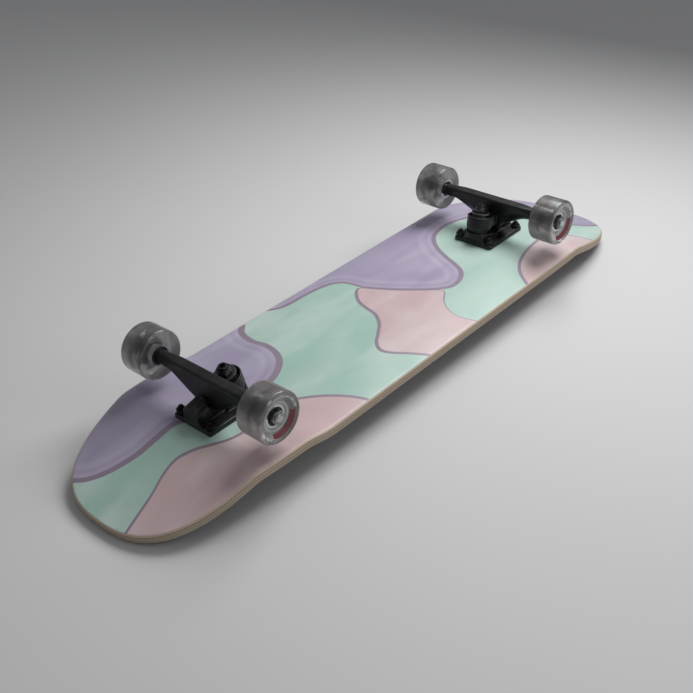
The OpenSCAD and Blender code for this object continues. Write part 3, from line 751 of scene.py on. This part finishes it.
def face_points(inner, outer, proud=0.05):
    """The wheel's dished face between two radii, a hair above the urethane."""
    slope = DISH_DEPTH / (DISH_R - LIP_R)
    return [(r, WHEEL_OUT - slope * (DISH_R - r) + proud) for r in (inner, outer)]


def join_meshes(parts):
    bm = bmesh.new()
    for part in parts:
        mesh = bpy.data.meshes.new("part")
        part.to_mesh(mesh)
        part.free()
        bm.from_mesh(mesh)
        bpy.data.meshes.remove(mesh)
    return bm


def wheel_print(axle, side):
    """Two rows of short marks and a red arc round the outer face."""
    marks = []
    for first, count in MARK_ROWS:
        for i in range(count):
            span = radians(4.6 if i % 3 else 2.6)
            start = radians(first + i * MARK_STEP)
            marks.append(spun(face_points(*MARK_RING), axle, side, 4, False, span, start))
    arc = spun(face_points(*RED_RING), axle, side, 48, False, radians(RED_SWEEP), radians(RED_START))
    return join_meshes(marks), arc


def make_wheel(end, side):
    axle = middle(end + "_axle")
    name = f"{end}_{side}_wheel"
    sign = SIGN[side]
    section = spun(wheel_section(), axle, sign, 128)
    tyre = make_object(name + "_urethane", section, FINISHES["smoke_urethane"], LIP_PAINTED_HIGHLIGHT)
    for face in tyre.data.polygons:
        from_axle = sqrt((face.center.x - axle.x) ** 2 + (face.center.z - axle.z) ** 2) / MM
        # the bevel round the bearing takes the pale material, a painted highlight
        if BORE_R < from_axle < LIP_R - 0.1 and abs(face.center.y) / MM > BEARING_FACE - 0.1:
            face.material_index = 1
    settle(shade(tyre, 40), name, "smoke_urethane", name)
    marks, arc = wheel_print(axle, sign)
    settle(shade(make_object(name + "_marks", marks, PALE_INK)), name, "smoke_urethane")
    settle(shade(make_object(name + "_red_arc", arc, RED_INK)), name, "smoke_urethane")
    node = f"{end}_{side}_bearing_shields"
    shields = make_object(node + "_pressed", pressed_shields(axle, sign), FINISHES["bearing_shield"])
    settle(shade(shields, 40), name, "bearing_shield", node)


def pressed_shields(axle, side):
    """Both bearings' shields, with a pressed groove and a rolled rim."""
    parts = []
    bore, rim = SHIELD_BORE_R, SHIELD_R
    profile = [
        (bore, -0.25), (bore, -0.05), (bore + 0.3, 0.1), (bore + 0.8, 0.1), (bore + 1.0, -0.1),
        (bore + 1.7, -0.1), (bore + 1.95, 0.15), (rim - 0.2, 0.2), (rim, 0.05), (rim, -0.25),
    ]
    recess = 0.55
    for start in (WHEEL_IN, BEARING_FACE - BEARING):
        for face, out in ((start + recess, -1), (start + BEARING - recess, 1)):
            section = [(r, face + height * out) for r, height in profile]
            parts.append(spun(section, axle, side, 96))
    return join_meshes(parts)


# ---------- pieces whose CAD shape is kept ----------

def dress_cad_nodes():
    """Kept CAD nodes take the finish of their slot."""
    for node, obj in frame["nodes"].items():
        if obj.hide_render:
            continue
        obj.data.materials.clear()
        obj.data.materials.append(FINISHES[SLOTS[node]])


# ---------- stage ----------

def make_camera():
    place = Vector((-0.6922, -0.6410, 0.6218))
    azimuth, elevation, roll = radians(-45.37), radians(33.52), radians(-4.59)
    back = Vector((sin(azimuth) * cos(elevation), -cos(azimuth) * cos(elevation), sin(elevation)))
    right = Vector((cos(azimuth), sin(azimuth), 0))
    up = back.cross(right)
    tilted_right = cos(roll) * right + sin(roll) * up
    tilted_up = cos(roll) * up - sin(roll) * right
    camera = bpy.data.objects.new("camera", bpy.data.cameras.new("camera"))
    bpy.context.scene.collection.objects.link(camera)
    turned = Matrix((tilted_right, tilted_up, back)).transposed().to_4x4()
    camera.matrix_world = Matrix.Translation(place) @ turned
    camera.data.lens = 53.09
    camera.data.sensor_width = 36
    camera.data.clip_start = 0.01
    bpy.context.scene.camera = camera


def make_floor():
    bm = bmesh.new()
    bmesh.ops.create_grid(bm, x_segments=40, y_segments=40, size=6)
    f = Finish("floor_paper", roughness=0.75, specular_ior_level=0.25)
    f.to("Base Color", f.mix(f.noise(3, 2), (0.68, 0.68, 0.68), (0.71, 0.71, 0.71)))
    floor = make_object("floor", bm, f.material)


def soft_light(name, place, target, size, watts, color=(1, 1, 1)):
    data = bpy.data.lights.new(name, "AREA")
    data.shape = "RECTANGLE"
    data.size, data.size_y = size
    data.energy = watts
    data.color = color
    light = bpy.data.objects.new(name, data)
    light.location = place
    light.rotation_mode = "QUATERNION"
    light.rotation_quaternion = (Vector(target) - Vector(place)).to_track_quat("-Z", "Y")
    bpy.context.scene.collection.objects.link(light)


def make_lights():
    soft_light("key", (0.533, -0.058, 0.911), (-1, -0.09, 0), (0.7, 0.7), 10.6)
    soft_light("fill", (0.2, -1.8, 1.0), (0, 0, 0), (1.2, 1.2), 5)
    world = bpy.data.worlds.new("studio")
    world.use_nodes = True
    world.node_tree.nodes["Background"].inputs["Color"].default_value = (0.75, 0.76, 0.78, 1)
    world.node_tree.nodes["Background"].inputs["Strength"].default_value = 0.25
    bpy.context.scene.world = world
    bpy.context.scene.view_settings.view_transform = "Standard"


make_camera()
make_board()
for end in ENDS:
    make_truck(end)
    for side in SIDES:
        make_wheel(end, side)
dress_cad_nodes()
make_floor()
make_lights()
